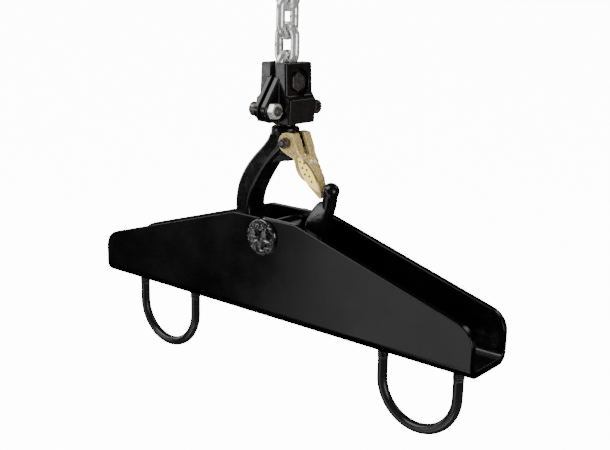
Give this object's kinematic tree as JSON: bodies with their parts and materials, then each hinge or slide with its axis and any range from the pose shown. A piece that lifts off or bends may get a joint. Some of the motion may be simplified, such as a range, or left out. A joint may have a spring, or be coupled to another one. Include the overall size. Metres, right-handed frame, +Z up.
{
  "type": "truss lifting bracket with hoist hook",
  "caption": "Black folded-steel bracket that clamps to two truss chords with U-bolts, hung by its bar from a latched swivel hook on chain.",
  "frame": {"origin": "middle of the channel's flat underside, which rests on the two truss chords", "axes": "+X along the channel towards the hook's tip, +Z up along the hanging chain, +Y completes the frame"},
  "size_m": [0.34, 0.056, 0.303],
  "materials": {
    "bracket_black": "satin black powder coat",
    "weld_black": "glossy black powder coat over a rough weld bead",
    "rod_black": "satin black zinc",
    "hook_black": "black paint on a forged surface",
    "block_black": "semi-gloss black paint on a forged surface",
    "pin_black": "black oxide",
    "dark_steel": "black oxide steel",
    "zinc_plate": "bright zinc plate",
    "chain_zinc": "galvanised steel",
    "bearing_steel": "ground bearing steel",
    "spring_steel": "bright spring wire",
    "latch_gold": "cast, yellow passivated zinc"
  },
  "bodies": {
    "chain_top": {"chain_link_1": "chain_zinc"},
    "chain_second": {"chain_link_2": "chain_zinc"},
    "chain_third": {"chain_link_3": "chain_zinc"},
    "chain_fourth": {"chain_link_4": "chain_zinc"},
    "hook_block": {"block_front_half": "block_black", "block_rear_half": "block_black", "chain_pin": "pin_black", "ear_bolts": "dark_steel", "ear_nuts": "zinc_plate", "bearing_race_lower": "bearing_steel"},
    "ball_ring": {"bearing_balls": "bearing_steel"},
    "hook": {"hook_body": "hook_black", "shank_collar": "bearing_steel", "collar_pin": "bearing_steel", "bearing_race_upper": "bearing_steel", "latch_bolt": "dark_steel", "latch_nut": "dark_steel"},
    "latch": {"latch": "latch_gold", "latch_spring": "spring_steel"},
    "bracket": {"channel": "bracket_black", "lifting_bar": "bracket_black", "bar_weld_front": "weld_black", "bar_weld_rear": "weld_black", "u_bolt_washers": "zinc_plate"},
    "u_bolt_left": {"u_bolt_left": "rod_black"},
    "u_bolt_right": {"u_bolt_right": "rod_black"},
    "nut_left_outer": {"nut_left_outer": "zinc_plate"},
    "nut_left_inner": {"nut_left_inner": "zinc_plate"},
    "nut_right_inner": {"nut_right_inner": "zinc_plate"},
    "nut_right_outer": {"nut_right_outer": "zinc_plate"}
  },
  "joints": [
    {"name": "link_2_swing", "type": "hinge", "parent": "chain_top", "child": "chain_second", "pos_m": [0, 0, 0.21731], "axis": [1, 0, 0], "range_deg": [-20, 20]},
    {"name": "link_3_swing", "type": "hinge", "parent": "chain_second", "child": "chain_third", "pos_m": [0, 0, 0.19837], "axis": [0, 1, 0], "range_deg": [-20, 20]},
    {"name": "link_4_swing", "type": "hinge", "parent": "chain_third", "child": "chain_fourth", "pos_m": [0, 0, 0.17943], "axis": [1, 0, 0], "range_deg": [-15, 15]},
    {"name": "block_swing", "type": "hinge", "parent": "chain_fourth", "child": "hook_block", "pos_m": [0, 0, 0.1675], "axis": [1, 0, 0], "range_deg": [-12, 12]},
    {"name": "hook_swivel", "type": "hinge", "parent": "hook_block", "child": "hook", "pos_m": [0, 0, 0.146], "axis": [0, 0, 1], "continuous": true},
    {"name": "ball_roll", "type": "hinge", "parent": "hook_block", "child": "ball_ring", "pos_m": [0, 0, 0.146], "axis": [0, 0, 1], "continuous": true},
    {"name": "latch_swing", "type": "hinge", "parent": "hook", "child": "latch", "pos_m": [0.0095, 0, 0.1263], "axis": [0, 1, 0], "range_deg": [0, 45], "stiffness_Nm_per_rad": 0.05, "springref_deg": -57.3, "deforming": ["latch_spring"]},
    {"name": "bracket_swing", "type": "hinge", "parent": "hook", "child": "bracket", "pos_m": [0, 0, 0.0602], "axis": [0, 1, 0], "range_deg": [-30, 30]},
    {"name": "u_bolt_left_slide", "type": "slide", "parent": "bracket", "child": "u_bolt_left", "axis": [0, 0, -1], "range_m": [0, 0.012]},
    {"name": "nut_left_outer_spin", "type": "hinge", "parent": "bracket", "child": "nut_left_outer", "pos_m": [-0.1495, 0, 0.00985], "axis": [0, 0, 1], "range_deg": [0, 3460]},
    {"name": "nut_left_inner_spin", "type": "hinge", "parent": "bracket", "child": "nut_left_inner", "pos_m": [-0.0905, 0, 0.00985], "axis": [0, 0, 1], "range_deg": [0, 3460]},
    {"name": "u_bolt_right_slide", "type": "slide", "parent": "bracket", "child": "u_bolt_right", "axis": [0, 0, -1], "range_m": [0, 0.012]},
    {"name": "nut_right_outer_spin", "type": "hinge", "parent": "bracket", "child": "nut_right_outer", "pos_m": [0.1495, 0, 0.00985], "axis": [0, 0, 1], "range_deg": [0, 3460]},
    {"name": "nut_right_inner_spin", "type": "hinge", "parent": "bracket", "child": "nut_right_inner", "pos_m": [0.0905, 0, 0.00985], "axis": [0, 0, 1], "range_deg": [0, 3460]}
  ],
  "couplings": [
    {"joint": "ball_roll", "follows": "hook_swivel", "ratio": 0.5},
    {"joint": "nut_left_outer_spin", "follows": "u_bolt_left_slide", "rad_per_m": 5026.5},
    {"joint": "nut_left_inner_spin", "follows": "u_bolt_left_slide", "rad_per_m": 5026.5},
    {"joint": "nut_right_outer_spin", "follows": "u_bolt_right_slide", "rad_per_m": 5026.5},
    {"joint": "nut_right_inner_spin", "follows": "u_bolt_right_slide", "rad_per_m": 5026.5}
  ]
}
